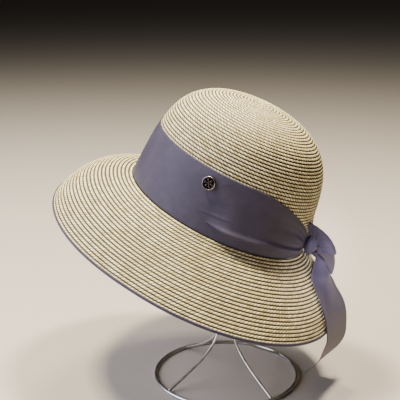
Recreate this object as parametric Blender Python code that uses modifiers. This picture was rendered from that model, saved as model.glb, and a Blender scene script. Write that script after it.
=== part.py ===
"""A wide-brim straw sun hat with a ribbon band, a bow and a round pin, resting tilted on a wire hat stand.

Metres, +Z up. The stand's ring lies on z = 0 and the whole model is centred over the origin.
The hat is modelled in its own frame and hung from one empty: +X to its back, +Y to its left side,
+Z up its axis, with the origin in the middle of the crown's base.
"""

import math

import bmesh
import bpy
import numpy as np
from mathutils import Matrix, Vector
from mathutils.bvhtree import BVHTree

# Straw crown: an oval dome
CROWN_LENGTH = 0.204
CROWN_WIDTH = 0.168
CROWN_HEIGHT = 0.123
CROWN_TAPER = 0.136
SHOULDER_SQUARE = 5.1
SHOULDER_ROUND = 2.4
CROWN_WALL = 0.0018

# Straw brim. Widths are shares of BRIM_WIDTH, slopes are degrees below level at the crown and at the rim
BRIM_WIDTH = 0.099
BRIM_WALL = 0.0018
BRIM_SECTIONS = {
    "front": {"width": 1.000, "slope_in": 4.3, "slope_out": 76.2},
    "side": {"width": 0.871, "slope_in": 34.1, "slope_out": 55.6},
    "back": {"width": 0.889, "slope_in": 33.5, "slope_out": 55.1},
}
SECTION_BLEND = 1.5

# Ribbon folded over the rim
BINDING_DEPTH = 0.0019
BINDING_THICK = 0.0010

# Ribbon round the crown, gathered towards the knot at the back
RIBBON_WIDTH = 0.0635
RIBBON_THICK = 0.0010
GATHER_SHARE = 0.30
GATHER_SPAN = 66.0
FOLD_PROUD = 0.0026
BAND_ROWS = (
    {"height": 0.00, "proud": 0.10},
    {"height": 0.20, "proud": 0.00},
    {"height": 0.27, "proud": 1.00},
    {"height": 0.42, "proud": 0.45},
    {"height": 0.70, "proud": 0.00},
    {"height": 1.00, "proud": 0.00},
)
FOLD_ENDS = (-98.0, 98.0)
FOLD_GATHER = (8.0, 22.0)

# Knot over the band's ends: place round the crown in degrees, then its size
KNOT_TURN = 5.0
KNOT_HEIGHT = 0.0105
KNOT_LENGTH = 0.0170
KNOT_BREADTH = 0.0140
KNOT_DEPTH = 0.0120

# Loops of the bow. Each point is a step from the knot's middle: back, left, up, as shares of LOOP_REACH.
# leaves is the direction in which the loop comes out of the knot, and front and back say how far its
# two layers swell apart as shares of LOOP_PUFF
LOOP_REACH = 0.063
LOOP_PUFF = 0.010
LOOP_ROOT = 0.008
LOOP_LAYERS = 0.0026
LOOPS = {
    "bow_loop_upper": {
        "leaves": (0.80, 0.20, 0.75),
        "front": 1.00,
        "back": 0.35,
        "inner_corner": (-0.15, -0.20, 0.44),
        "bulge": (0.31, -0.10, 0.46),
        "outer_corner": (0.41, 0.10, 0.09),
    },
    "bow_loop_lower": {
        "leaves": (-0.05, 0.95, 0.05),
        "front": 0.25,
        "back": 0.60,
        "inner_corner": (0.01, 0.82, -0.04),
        "bulge": (0.38, 1.03, -0.22),
        "outer_corner": (0.35, 0.88, -0.60),
    },
}

# Tail of the bow, lying over the back of the brim and curling in below it. The near edge is placed by
# its turn round the brim in degrees, its reach in shares of the brim's width there and its lift in
# shares of RIBBON_WIDTH. The ribbon spreads from it by open (a share of its width) towards back and up
TAIL_ROWS = (
    {"turn": 4.5, "reach": 0.065, "lift": 0.212, "open": 0.12, "back": 0.14, "up": -0.10},
    {"turn": 3.9, "reach": 0.115, "lift": 0.190, "open": 0.25, "back": 0.15, "up": -0.15},
    {"turn": 2.6, "reach": 0.155, "lift": 0.155, "open": 0.40, "back": 0.16, "up": -0.18},
    {"turn": 0.8, "reach": 0.195, "lift": 0.115, "open": 0.60, "back": 0.20, "up": -0.17},
    {"turn": -1.6, "reach": 0.245, "lift": 0.078, "open": 0.86, "back": 0.24, "up": -0.18},
    {"turn": -3.4, "reach": 0.310, "lift": 0.055, "open": 1.00, "back": 0.25, "up": -0.17},
    {"turn": -3.6, "reach": 0.390, "lift": 0.050, "open": 1.00, "back": 0.23, "up": -0.19},
    {"turn": -2.6, "reach": 0.540, "lift": 0.050, "open": 1.00, "back": 0.24, "up": -0.19},
    {"turn": -1.8, "reach": 0.700, "lift": 0.050, "open": 1.00, "back": 0.24, "up": -0.21},
    {"turn": -1.4, "reach": 0.860, "lift": 0.050, "open": 1.00, "back": 0.21, "up": -0.26},
    {"turn": -2.4, "reach": 0.980, "lift": 0.050, "open": 1.00, "back": 0.18, "up": -0.28},
    {"turn": -2.8, "reach": 1.080, "lift": 0.035, "open": 1.00, "back": 0.12, "up": -0.32},
    {"turn": -2.6, "reach": 1.170, "lift": -0.030, "open": 1.00, "back": 0.06, "up": -0.36},
    {"turn": -2.3, "reach": 1.260, "lift": -0.105, "open": 1.00, "back": -0.01, "up": -0.38},
    {"turn": -2.0, "reach": 1.340, "lift": -0.180, "open": 0.96, "back": -0.06, "up": -0.40},
    {"turn": -2.4, "reach": 1.430, "lift": -0.335, "open": 0.62, "back": -0.07, "up": -0.40},
    {"turn": -2.9, "reach": 1.490, "lift": -0.490, "open": 0.08, "back": -0.08, "up": -0.40},
)
TAIL_ACROSS = 4

# Round pin on the band: place round the crown in degrees and height up the crown, then its size
PIN_TURN = -86.0
PIN_HEIGHT = 0.0500
PIN_DIAMETER = 0.0138
PIN_THICK = 0.0026
PIN_LIP = 0.0011
PIN_DISH = 0.0006

# Wire stand: a ring on the table and two hoops of wire that pinch at the neck and swell into a ball
RING_RADIUS = 0.0800
RING_WIRE = 0.0040
RING_FLAT = 0.0003
HOOP_WIRE = 0.0030
NECK_RADIUS = 0.0115
NECK_HEIGHT = 0.0620
BALL_RADIUS = 0.0650
STAND_HEIGHT = 0.3190
HOOP_TURNS = (36.0, 126.0)
HOOP_CROSSING = 0.0013
COLLAR_WIRE = 0.0026
COLLAR_OUT = 0.0012
LEG_INWARD = 0.52
LEG_RISE = 0.30
LEG_STEEP = 0.45
FLARE_RISE = 0.32
FLARE_SWELL = 0.43
ARC_HANDLE = 0.5523

# Where the hat rests on the stand: tilt, the way it tilts, its turn on its own axis, offset of its base
HAT_TILT = 23.3
HAT_TILT_TOWARDS = -20.0
HAT_TURN = -26.1
HAT_OFFSET = (-0.0104, 0.0009)

# Gap left between pieces that touch on the real hat
GAP = 0.0003

# Facets
ROUND = 56
CROWN_RINGS = 11
BRIM_RINGS = 6
LOOP_STEPS = 14
LOOP_ACROSS = 5

STRAW = ("straw", (0.66, 0.57, 0.38), 0.75, 0.0)
RIBBON = ("lilac grey ribbon", (0.19, 0.18, 0.25), 0.45, 0.0)
PIN_METAL = ("dark pin metal", (0.05, 0.04, 0.04), 0.30, 0.9)
STEEL = ("steel wire", (0.45, 0.46, 0.48), 0.30, 1.0)


def clear_scene():
    for old in list(bpy.data.objects):
        bpy.data.objects.remove(old, do_unlink=True)


def collection(name):
    made = bpy.data.collections.new(name)
    bpy.context.scene.collection.children.link(made)
    return made


def material(finish):
    name, colour, roughness, metallic = finish
    made = bpy.data.materials.get(name) or bpy.data.materials.new(name)
    made.use_nodes = True
    shader = made.node_tree.nodes["Principled BSDF"]
    shader.inputs["Base Color"].default_value = (*colour, 1.0)
    shader.inputs["Roughness"].default_value = roughness
    shader.inputs["Metallic"].default_value = metallic
    return made


def add_object(name, mesh, finish, home, parent=None, sharp=40.0):
    made = bpy.data.objects.new(name, mesh)
    mesh.shade_smooth()
    mesh.set_sharp_from_angle(angle=math.radians(sharp))
    mesh.materials.clear()
    mesh.materials.append(material(finish))
    home.objects.link(made)
    made.parent = parent
    return made


def loft(name, rows, round_rows=False, round_sections=False, pole=None):
    """A mesh of quads through rows of points. Rows or the order of sections may close on themselves."""
    rows = np.asarray(rows, float)
    count, across = rows.shape[:2]
    grid = np.arange(count * across).reshape(count, across)
    if round_sections:
        grid = np.vstack([grid, grid[:1]])
    if round_rows:
        grid = np.hstack([grid, grid[:, :1]])
    quads = np.stack([grid[:-1, :-1], grid[:-1, 1:], grid[1:, 1:], grid[1:, :-1]], -1).reshape(-1, 4)
    points = rows.reshape(-1, 3).tolist()
    faces = quads.tolist()
    if pole is not None:
        last = grid[-1]
        faces += [[int(a), int(b), len(points)] for a, b in zip(last[:-1], last[1:])]
        points.append(list(pole))
    mesh = bpy.data.meshes.new(name)
    mesh.from_pydata(points, [], faces)
    return mesh


def thicken(piece, thickness, offset):
    wall = piece.modifiers.new("Wall", "SOLIDIFY")
    wall.thickness = thickness
    wall.offset = offset
    wall.use_even_offset = True
    return wall


def face_outwards(mesh):
    shape = bmesh.new()
    shape.from_mesh(mesh)
    bmesh.ops.recalc_face_normals(shape, faces=shape.faces)
    shape.to_mesh(mesh)
    shape.free()


def unit(vector):
    vector = np.asarray(vector, float)
    return vector / np.linalg.norm(vector)


def turns(count):
    return np.linspace(0.0, 2.0 * math.pi, count, endpoint=False)


def crown_share(height):
    """How wide the crown is at a height, as a share of its base."""
    up = min(max(height / CROWN_HEIGHT, 0.0), 1.0)
    return (1.0 - CROWN_TAPER * up) * (1.0 - up**SHOULDER_SQUARE) ** (1.0 / SHOULDER_ROUND)


def oval_point(turn, share, out, height):
    """A point beside the crown's oval: out along the oval's normal from its outline at that share."""
    a = CROWN_LENGTH / 2 * share
    b = CROWN_WIDTH / 2 * share
    normal = unit((math.cos(turn) / a, math.sin(turn) / b, 0.0))
    return np.array((a * math.cos(turn), b * math.sin(turn), height)) + normal * out


def crown_point(turn, height, out):
    return oval_point(turn, crown_share(height), out, height)


def crown_normal(turn, height):
    step = 1e-4
    along = crown_point(turn + step, height, 0.0) - crown_point(turn - step, height, 0.0)
    up = crown_point(turn, height + step, 0.0) - crown_point(turn, height - step, 0.0)
    return unit(np.cross(along, up))


def brim_section(turn):
    """Width and the two slopes of the brim in one direction, blended from the table."""
    front = max(-math.cos(turn), 0.0) ** SECTION_BLEND
    back = max(math.cos(turn), 0.0) ** SECTION_BLEND
    weights = {"front": front, "back": back, "side": 1.0 - front - back}
    value = {
        key: sum(weight * BRIM_SECTIONS[at][key] for at, weight in weights.items())
        for key in ("width", "slope_in", "slope_out")
    }
    return value["width"] * BRIM_WIDTH, math.radians(value["slope_in"]), math.radians(value["slope_out"])


def brim_frame(turn, share):
    """Point, outward direction and upward normal of the brim's top. Past the rim it runs straight on."""
    width, slope_in, slope_out = brim_section(turn)
    bend = slope_out - slope_in
    inside = min(share, 1.0)
    slope = slope_in + bend * inside
    out = width * (math.sin(slope) - math.sin(slope_in)) / bend
    down = width * (math.cos(slope_in) - math.cos(slope)) / bend
    past = width * (share - inside)
    out += past * math.cos(slope)
    down += past * math.sin(slope)
    foot = oval_point(turn, 1.0, GAP, 0.0)
    level = unit(oval_point(turn, 1.0, 1.0, 0.0) - oval_point(turn, 1.0, 0.0, 0.0))
    rise = np.array((0.0, 0.0, 1.0))
    outward = level * math.cos(slope) - rise * math.sin(slope)
    normal = level * math.sin(slope) + rise * math.cos(slope)
    return foot + level * out - rise * down, outward, normal


def hem_point(turn):
    """The crown's lowest edge, tucked in along the brim's inner edge."""
    _, slope_in, slope_out = brim_section(turn)
    slope = slope_in + (slope_out - slope_in) * 0.5 / (BRIM_RINGS - 1)
    down = np.array((0.0, 0.0, BRIM_WALL * math.cos(slope)))
    return crown_point(turn, 0.0, -BRIM_WALL * math.sin(slope)) - down


def build_crown(home, parent):
    heights = np.sin(np.linspace(0.0, 1.0, CROWN_RINGS + 1)[:-1] * math.pi / 2) * CROWN_HEIGHT
    rows = [[crown_point(turn, height, 0.0) for turn in turns(ROUND)] for height in heights]
    rows.insert(0, [hem_point(turn) for turn in turns(ROUND)])
    mesh = loft("crown", rows, round_rows=True, pole=(0.0, 0.0, CROWN_HEIGHT))
    crown = add_object("crown", mesh, STRAW, home, parent)
    thicken(crown, CROWN_WALL, -1.0)
    return crown


def build_brim(home, parent):
    shares = list(np.linspace(0.0, 1.0, BRIM_RINGS)[:-1])
    rows = []
    for share in [*shares, None, 1.0][::-1]:
        at = 1.0 - BINDING_DEPTH / BRIM_WIDTH if share is None else share
        rows.append([brim_frame(turn, at)[0] for turn in turns(ROUND)])
    brim = add_object("brim", loft("brim", rows, round_rows=True), STRAW, home, parent)
    thicken(brim, BRIM_WALL, -1.0)


def build_binding(home, parent):
    """A ribbon folded round the rim: a U in section, carried round the brim."""
    near = GAP
    far = GAP + BINDING_THICK
    section = (
        (-BINDING_DEPTH, far),
        (far, far),
        (far, -BRIM_WALL - far),
        (-BINDING_DEPTH, -BRIM_WALL - far),
        (-BINDING_DEPTH, -BRIM_WALL - near),
        (near, -BRIM_WALL - near),
        (near, near),
        (-BINDING_DEPTH, near),
    )
    rows = []
    for turn in turns(ROUND):
        rim, outward, normal = brim_frame(turn, 1.0)
        rows.append([rim + outward * along + normal * up for along, up in section])
    mesh = loft("brim_binding", rows, round_rows=True, round_sections=True)
    face_outwards(mesh)
    add_object("brim_binding", mesh, RIBBON, home, parent)


def band_height(turn):
    """Height of the band's upper edge: the ribbon's full width, gathered down near the knot."""
    away = abs((math.degrees(turn) - KNOT_TURN + 180.0) % 360.0 - 180.0)
    open_share = math.sin(math.radians(90.0) * min(away / GATHER_SPAN, 1.0))
    return RIBBON_WIDTH * (GATHER_SHARE + (1.0 - GATHER_SHARE) * open_share)


def fold_share(turn):
    """How far the lengthwise fold stands out here: flat under the knot and again round the front."""
    degrees = (math.degrees(turn) + 180.0) % 360.0 - 180.0
    low, high = FOLD_ENDS
    inside = (degrees - low) * (high - degrees) / ((high - low) / 2.0) ** 2
    gathered, loose = FOLD_GATHER
    free = (abs(degrees - KNOT_TURN) - gathered) / (loose - gathered)
    return math.sqrt(max(inside, 0.0)) * min(max(free, 0.0), 1.0)


def build_band(home, parent):
    rows = []
    for row in BAND_ROWS:
        points = []
        for turn in turns(ROUND):
            height = 2 * GAP + (band_height(turn) - 2 * GAP) * row["height"]
            points.append(crown_point(turn, height, GAP + FOLD_PROUD * fold_share(turn) * row["proud"]))
        rows.append(points)
    band = add_object("hat_band", loft("hat_band", rows, round_rows=True), RIBBON, home, parent)
    thicken(band, RIBBON_THICK, 1.0)


def build_pin(home, parent):
    """A turned disc with a raised lip and a dished face, flat on the band."""
    radius = PIN_DIAMETER / 2
    inner = radius - PIN_LIP
    profile = (
        (0.0, PIN_THICK - PIN_DISH),
        (inner, PIN_THICK - PIN_DISH),
        (inner + PIN_DISH / 2, PIN_THICK),
        (radius - PIN_DISH / 2, PIN_THICK),
        (radius, PIN_THICK - PIN_DISH / 2),
        (radius, 0.0),
        (0.0, 0.0),
    )
    mesh = bpy.data.meshes.new("pin")
    mesh.from_pydata([(x, 0.0, z) for x, z in profile], [(i, i + 1) for i in range(len(profile) - 1)], [])
    pin = add_object("pin", mesh, PIN_METAL, home, parent)
    turned = pin.modifiers.new("Turned", "SCREW")
    turned.steps = turned.render_steps = 24
    turned.use_merge_vertices = True
    turned.merge_threshold = 1e-5
    turn = math.radians(PIN_TURN)
    normal = Vector(crown_normal(turn, PIN_HEIGHT))
    pin.location = crown_point(turn, PIN_HEIGHT, 0.0) + np.array(normal) * (2 * GAP + RIBBON_THICK)
    pin.rotation_euler = normal.to_track_quat("Z", "Y").to_euler()


def knot_frame():
    """The knot's middle and its three directions: out from the crown, round it, and up."""
    turn = math.radians(KNOT_TURN)
    out = unit(crown_point(turn, KNOT_HEIGHT, 1.0) - crown_point(turn, KNOT_HEIGHT, 0.0))
    up = np.array((0.0, 0.0, 1.0))
    stand_off = 2 * GAP + RIBBON_THICK + KNOT_DEPTH / 2
    return crown_point(turn, KNOT_HEIGHT, stand_off), out, np.cross(up, out), up


def knot_reach(direction):
    """Distance from the knot's middle to its skin in a direction of the hat's frame."""
    _, out, along, up = knot_frame()
    halves = ((out, KNOT_DEPTH / 2), (along, KNOT_BREADTH / 2), (up, KNOT_LENGTH / 2))
    return 1.0 / math.sqrt(sum((float(direction @ axis) / half) ** 2 for axis, half in halves))


def build_knot(home, parent):
    middle, out, along, up = knot_frame()
    shape = bmesh.new()
    bmesh.ops.create_uvsphere(shape, u_segments=14, v_segments=9, radius=0.5)
    mesh = bpy.data.meshes.new("bow_knot")
    shape.to_mesh(mesh)
    shape.free()
    place = Matrix([list(row) for row in np.column_stack([out, along, up])]).to_4x4()
    mesh.transform(place @ Matrix.Diagonal((KNOT_DEPTH, KNOT_BREADTH, KNOT_LENGTH, 1.0)))
    knot = add_object("bow_knot", mesh, RIBBON, home, parent, sharp=60.0)
    knot.location = middle


def build_loop(name, home, parent):
    """One loop: a fan of two layers that leave the knot, open out and meet in a round fold."""
    middle = knot_frame()[0]
    shape = LOOPS[name]
    corners = [np.array(shape[key]) * LOOP_REACH for key in ("inner_corner", "bulge", "outer_corner")]
    inner, bulge, outer = (middle + corner for corner in corners)
    leaves = unit(shape["leaves"])
    across = unit(outer - inner)
    lift = unit(np.cross(across, (inner + outer) / 4 + bulge / 2 - middle))
    root = middle + leaves * (knot_reach(leaves) + 2 * GAP)
    root_line = unit(across - leaves * (across @ leaves))
    rows = []
    for step in np.linspace(0.0, 1.0, LOOP_STEPS + 1):
        reach = math.sin(math.pi * step)
        swell = LOOP_PUFF * shape["front" if step < 0.5 else "back"]
        puff = math.cos(math.pi * step) * (LOOP_LAYERS / 2 * (1 - reach) + swell * reach)
        points = []
        for share in np.linspace(0.0, 1.0, LOOP_ACROSS):
            start = root + root_line * (share - 0.5) * LOOP_ROOT
            fold = (1 - share) ** 2 * inner + 2 * share * (1 - share) * bulge + share**2 * outer
            points.append(start + (fold - start) * reach + lift * puff)
        rows.append(points)
    loop = add_object(name, loft(name, rows), RIBBON, home, parent, sharp=70.0)
    thicken(loop, RIBBON_THICK, 0.0)


def build_tail(home, parent):
    rows = []
    for row in TAIL_ROWS:
        foot, _, normal = brim_frame(math.radians(row["turn"]), row["reach"])
        edge = foot + normal * row["lift"] * RIBBON_WIDTH
        left = math.sqrt(1.0 - row["back"] ** 2 - row["up"] ** 2)
        across = np.array((row["back"], left, row["up"])) * row["open"] * RIBBON_WIDTH
        rows.append([edge + across * share for share in np.linspace(0.0, 1.0, TAIL_ACROSS + 1)])
    tail = add_object("bow_tail", loft("bow_tail", rows), RIBBON, home, parent, sharp=70.0)
    thicken(tail, RIBBON_THICK, 0.0)


def hoop_points(lower):
    """Half of a hoop as Bezier points in its plane: (radius, height) with both handles, foot to top."""
    foot = (RING_RADIUS, RING_WIRE / 2 - RING_FLAT)
    fall = foot[0] - NECK_RADIUS
    rise = NECK_HEIGHT - foot[1]
    ball = STAND_HEIGHT - lower - HOOP_WIRE / 2 - BALL_RADIUS
    climb = ball - NECK_HEIGHT
    arc = BALL_RADIUS * ARC_HANDLE
    out = (foot[0] - fall * LEG_INWARD, foot[1] + rise * LEG_RISE)
    return (
        (foot, foot, out),
        (
            (NECK_RADIUS, NECK_HEIGHT),
            (NECK_RADIUS, NECK_HEIGHT - rise * LEG_STEEP),
            (NECK_RADIUS, NECK_HEIGHT + climb * FLARE_RISE),
        ),
        ((BALL_RADIUS, ball), (BALL_RADIUS, ball - climb * FLARE_SWELL), (BALL_RADIUS, ball + arc)),
        ((0.0, ball + BALL_RADIUS), (arc, ball + BALL_RADIUS), (-arc, ball + BALL_RADIUS)),
    )


def build_hoop(home, turn, lower):
    """One wire from the ring up over the ball and down to the ring again, in a plane through the axis."""
    half = hoop_points(lower)
    other = [tuple((-x, z) for x, z in (point, after, before)) for point, before, after in half[-2::-1]]
    curve = bpy.data.curves.new("hoop", "CURVE")
    curve.dimensions = "3D"
    curve.bevel_depth = HOOP_WIRE / 2
    curve.bevel_resolution = 2
    curve.use_fill_caps = True
    curve.resolution_u = 7
    spline = curve.splines.new("BEZIER")
    spline.bezier_points.add(len(half) + len(other) - 1)
    for bezier, (point, before, after) in zip(spline.bezier_points, [*half, *other]):
        bezier.co, bezier.handle_left, bezier.handle_right = ((x, 0.0, z) for x, z in (point, before, after))
    hoop = bpy.data.objects.new("hoop", curve)
    home.objects.link(hoop)
    hoop.rotation_euler[2] = math.radians(turn)
    return hoop


def solid_from_curve(curve_object, home):
    """A closed mesh object in place of a curve object, with its caps welded to its sides."""
    bpy.context.view_layer.update()
    graph = bpy.context.evaluated_depsgraph_get()
    mesh = bpy.data.meshes.new_from_object(curve_object.evaluated_get(graph))
    shape = bmesh.new()
    shape.from_mesh(mesh)
    bmesh.ops.remove_doubles(shape, verts=shape.verts, dist=1e-6)
    bmesh.ops.recalc_face_normals(shape, faces=shape.faces)
    shape.to_mesh(mesh)
    shape.free()
    made = bpy.data.objects.new(curve_object.name, mesh)
    made.matrix_world = curve_object.matrix_world.copy()
    home.objects.link(made)
    bpy.data.objects.remove(curve_object)
    return made


def hide_tool(tool):
    tool.hide_render = True
    tool.display_type = "WIRE"


def add_ring(name, radius, wire, height, home, sides):
    bpy.ops.mesh.primitive_torus_add(
        major_radius=radius,
        minor_radius=wire / 2,
        major_segments=48,
        minor_segments=sides,
        location=(0.0, 0.0, height),
    )
    ring = bpy.context.object
    ring.name = name
    for owner in list(ring.users_collection):
        owner.objects.unlink(ring)
    home.objects.link(ring)
    return ring


def build_stand(home, tools):
    """Ring, two crossing hoops and a neck collar welded into one, with the ring's underside ground flat."""
    height = RING_WIRE / 2 - RING_FLAT
    stand = add_ring("wire_stand", RING_RADIUS, RING_WIRE, height, home, 10)
    stand.data.materials.append(material(STEEL))
    collar = add_ring("collar", NECK_RADIUS + COLLAR_OUT, COLLAR_WIRE, NECK_HEIGHT, tools, 8)
    hoops = [
        solid_from_curve(build_hoop(tools, turn, HOOP_CROSSING * step), tools)
        for step, turn in enumerate(HOOP_TURNS)
    ]
    for tool in (*hoops, collar):
        weld = stand.modifiers.new("Weld " + tool.name, "BOOLEAN")
        weld.operation = "UNION"
        weld.object = tool
        hide_tool(tool)
    bpy.ops.mesh.primitive_cube_add(size=2 * (RING_RADIUS + RING_WIRE))
    floor = bpy.context.object
    floor.name = "ground_flat"
    floor.location.z = -(RING_RADIUS + RING_WIRE)
    for owner in list(floor.users_collection):
        owner.objects.unlink(floor)
    tools.objects.link(floor)
    hide_tool(floor)
    flat = stand.modifiers.new("Flat", "BOOLEAN")
    flat.operation = "DIFFERENCE"
    flat.object = floor
    return hoops


def hoop_line(hoop):
    """Points of a hoop's skin in the world, near enough for finding where the hat comes to rest."""
    return [hoop.matrix_world @ vertex.co for vertex in hoop.data.vertices]


def rest_on(hat, crown, hoops):
    """Lowers the hat until the crown's inside comes within GAP of the wires."""
    bpy.context.view_layer.update()
    graph = bpy.context.evaluated_depsgraph_get()
    inside = BVHTree.FromObject(crown, graph)
    skin = [point for hoop in hoops for point in hoop_line(hoop) if point.z > NECK_HEIGHT]
    turned = hat.rotation_euler.to_matrix().inverted()

    def clearance(lift):
        seat = Vector((*HAT_OFFSET, lift))
        return min(inside.find_nearest(turned @ (point - seat))[3] for point in skin)

    high = STAND_HEIGHT
    step = CROWN_WALL / 2
    while clearance(high - step) > GAP:
        high -= step
    low = high - step
    for _ in range(20):
        middle = (low + high) / 2
        low, high = (low, middle) if clearance(middle) > GAP else (middle, high)
    hat.location = (*HAT_OFFSET, high)


def centre_over_origin(assembly, parts):
    """Moves the assembly so that its box is centred on the Z axis."""
    bpy.context.view_layer.update()
    graph = bpy.context.evaluated_depsgraph_get()
    corners = []
    for piece in parts.objects:
        evaluated = piece.evaluated_get(graph)
        corners += [evaluated.matrix_world @ vertex.co for vertex in evaluated.data.vertices]
    for axis in (0, 1):
        values = [corner[axis] for corner in corners]
        assembly.location[axis] = -(min(values) + max(values)) / 2


def add_empty(name, home, parent=None):
    made = bpy.data.objects.new(name, None)
    home.objects.link(made)
    made.parent = parent
    return made


def main():
    clear_scene()
    parts = collection("straw_sun_hat_on_stand")
    guides = collection("guides")
    tools = collection("tools")
    assembly = add_empty("assembly", guides)
    hat = add_empty("hat", guides, assembly)
    lean = Matrix.Rotation(math.radians(HAT_TILT_TOWARDS), 3, "Z")
    tilt = Matrix.Rotation(math.radians(HAT_TILT), 3, "Y")
    spin = Matrix.Rotation(math.radians(HAT_TURN), 3, "Z")
    hat.rotation_euler = (lean @ tilt @ lean.inverted() @ spin).to_euler()

    crown = build_crown(parts, hat)
    build_brim(parts, hat)
    build_binding(parts, hat)
    build_band(parts, hat)
    build_pin(parts, hat)
    build_knot(parts, hat)
    for name in LOOPS:
        build_loop(name, parts, hat)
    build_tail(parts, hat)
    hoops = build_stand(parts, tools)
    rest_on(hat, crown, hoops)
    for piece in (parts.objects["wire_stand"], *tools.objects):
        piece.parent = assembly
    centre_over_origin(assembly, parts)


main()
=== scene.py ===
"""Straw sun hat on a wire hat stand: braid, ribbon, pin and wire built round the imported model.

Metres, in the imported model's frame. The hat's own frame has +X to its back, +Y to its left side and
+Z up its axis, with the origin in the middle of the crown's base.
"""

import math

import bpy
import numpy as np
from mathutils import Matrix, Vector


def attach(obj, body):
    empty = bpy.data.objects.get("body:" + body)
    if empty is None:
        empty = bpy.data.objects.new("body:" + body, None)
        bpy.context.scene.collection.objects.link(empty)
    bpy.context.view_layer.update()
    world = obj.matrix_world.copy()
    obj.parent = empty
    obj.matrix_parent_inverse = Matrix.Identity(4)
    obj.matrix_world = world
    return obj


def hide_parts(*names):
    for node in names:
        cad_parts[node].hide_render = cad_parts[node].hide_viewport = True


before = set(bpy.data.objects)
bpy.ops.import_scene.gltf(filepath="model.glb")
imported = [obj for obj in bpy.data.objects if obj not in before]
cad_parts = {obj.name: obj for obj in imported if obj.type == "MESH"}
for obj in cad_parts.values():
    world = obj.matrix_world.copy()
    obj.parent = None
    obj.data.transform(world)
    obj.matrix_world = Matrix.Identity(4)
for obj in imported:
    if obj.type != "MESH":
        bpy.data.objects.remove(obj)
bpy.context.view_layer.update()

# Straw crown and brim
CROWN_LENGTH, CROWN_WIDTH, CROWN_HEIGHT = 0.204, 0.168, 0.123
CROWN_TAPER, SHOULDER_SQUARE, SHOULDER_ROUND = 0.136, 5.1, 2.4
WALL = 0.0018
BRIM_WIDTH = 0.099
BRIM_SECTIONS = {"front": (1.000, 4.3, 76.2), "side": (0.871, 34.1, 55.6), "back": (0.889, 33.5, 55.1)}
SECTION_BLEND = 1.5
HEM_STEP = 0.1
CROWN_ROWS, BRIM_ROWS = 52, 23
CROWN_COLUMNS, BRIM_COLUMNS = 480, 900
PLAIT_LENGTH, PLAIT_SLANT = 0.0038, 1.00
ROW_RELIEF, PLAIT_RELIEF = 0.00105, 0.00024
ROW_POINTS = (0.0, 0.18, 0.5, 0.82)
HIDDEN_ROWS = 14
RIM_STEP = 0.02

# Ribbon of the rim, the band and the bow
RIBBON_WIDTH = 0.0635
RIBBON_THICK = 0.0005
RIB_SPACING, THREAD_SPACING = 0.00055, 0.0008
BAND_ROOM = 0.0010
BINDING_DEPTH, BINDING_UNDER = 0.0019, 2.6
GATHER_SHARE, GATHER_SPAN = 0.30, 66.0
GAP = 0.0003
BINDING_COLUMNS, BAND_COLUMNS = 720, 540
# Rim binding: how far the ribbon's middle lies off the straw, at its edges, near the rim and past the rim
BINDING_EDGE, BINDING_SWELL, BINDING_NOSE = 0.0005, 0.0006, 0.0009
# Stitches: their spacing, half length, step in from the binding's edge, step up, and half sizes across
STITCH_SPACING, STITCH_HALF, STITCH_IN, STITCH_UP = 0.0034, 0.0011, 0.0007, 0.0009
STITCH_ACROSS = (0.00024, 0.00020)

# Height of the band's lengthwise fold by the turn round the crown, in degrees and metres
FOLD_LINE = np.array((
    (-98, 0.0120), (-82, 0.0126), (-71, 0.0130), (-57, 0.0134), (-50, 0.0138),
    (-45, 0.0144), (-39.5, 0.0146), (-32, 0.0139), (-25, 0.0129), (-16, 0.0118),
    (-6, 0.0096), (4.5, 0.0071), (16, 0.0120), (40, 0.0150), (98, 0.0160),
))
FOLD_PROUD, FOLD_STARTS, FOLD_FADES, FOLD_MEETS, FOLD_OPENS = 0.0060, 80.0, 16.0, 5.0, 22.0
# The fold's lip from behind it to its front: height over the fold and step out, in shares of how far
# the fold stands proud there
FOLD_LIP = np.array((
    (0.40, 0.10), (0.34, 0.30), (0.10, 0.48), (-0.16, 0.62),
    (-0.31, 0.78), (-0.34, 0.92), (-0.24, 1.06), (-0.04, 1.14),
))
FOLD_LIP_RISE = 0.00008
# Waves of the band: by the knot, finer ones between them, and the slow drift all round
GATHER_WAVE, GATHER_FINE, BAND_DRIFT = 0.0011, 0.0004, 0.00025
# Short creases by the pin: turn, height, length, lean in degrees, and rise, which is below 0 in a valley
CREASES = (
    (-76.0, 0.0212, 0.024, 7.0, -0.00070), (-75.0, 0.0234, 0.024, 7.0, 0.00080),
    (-76.5, 0.0560, 0.018, 38.0, 0.00022), (-77.5, 0.0535, 0.014, 30.0, -0.00018),
    (-78.0, 0.0420, 0.012, 12.0, 0.00020), (-75.5, 0.0345, 0.016, 16.0, -0.00022),
    (-74.0, 0.0310, 0.014, 10.0, 0.00022), (-72.0, 0.0400, 0.012, 28.0, 0.00016),
)
CREASE_RADIUS, RIDGE_HALF, VALLEY_HALF = 0.088, 0.0011, 0.0007

# Knot and pin, by their turn round the crown in degrees and their height
KNOT_TURN, KNOT_HEIGHT = 5.0, 0.0105
KNOT_DEPTH, KNOT_BREADTH, KNOT_LENGTH, KNOT_RISE = 0.0120, 0.0140, 0.0170, 0.0036
KNOT_RIDGE, KNOT_GROOVE, KNOT_CLOTH = 0.055, 0.05, (0.048, 0.022)
PIN_TURN, PIN_HEIGHT, PIN_DIAMETER = -86.0, 0.0500, 0.0138
PIN_THICK, PIN_LIP, PIN_DISH = 0.0026, 0.0011, 0.0006
PETALS, PETAL_RISE, BOSS_RISE, PIN_RING_RISE = 6, 0.00032, 0.00040, 0.00018

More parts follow.
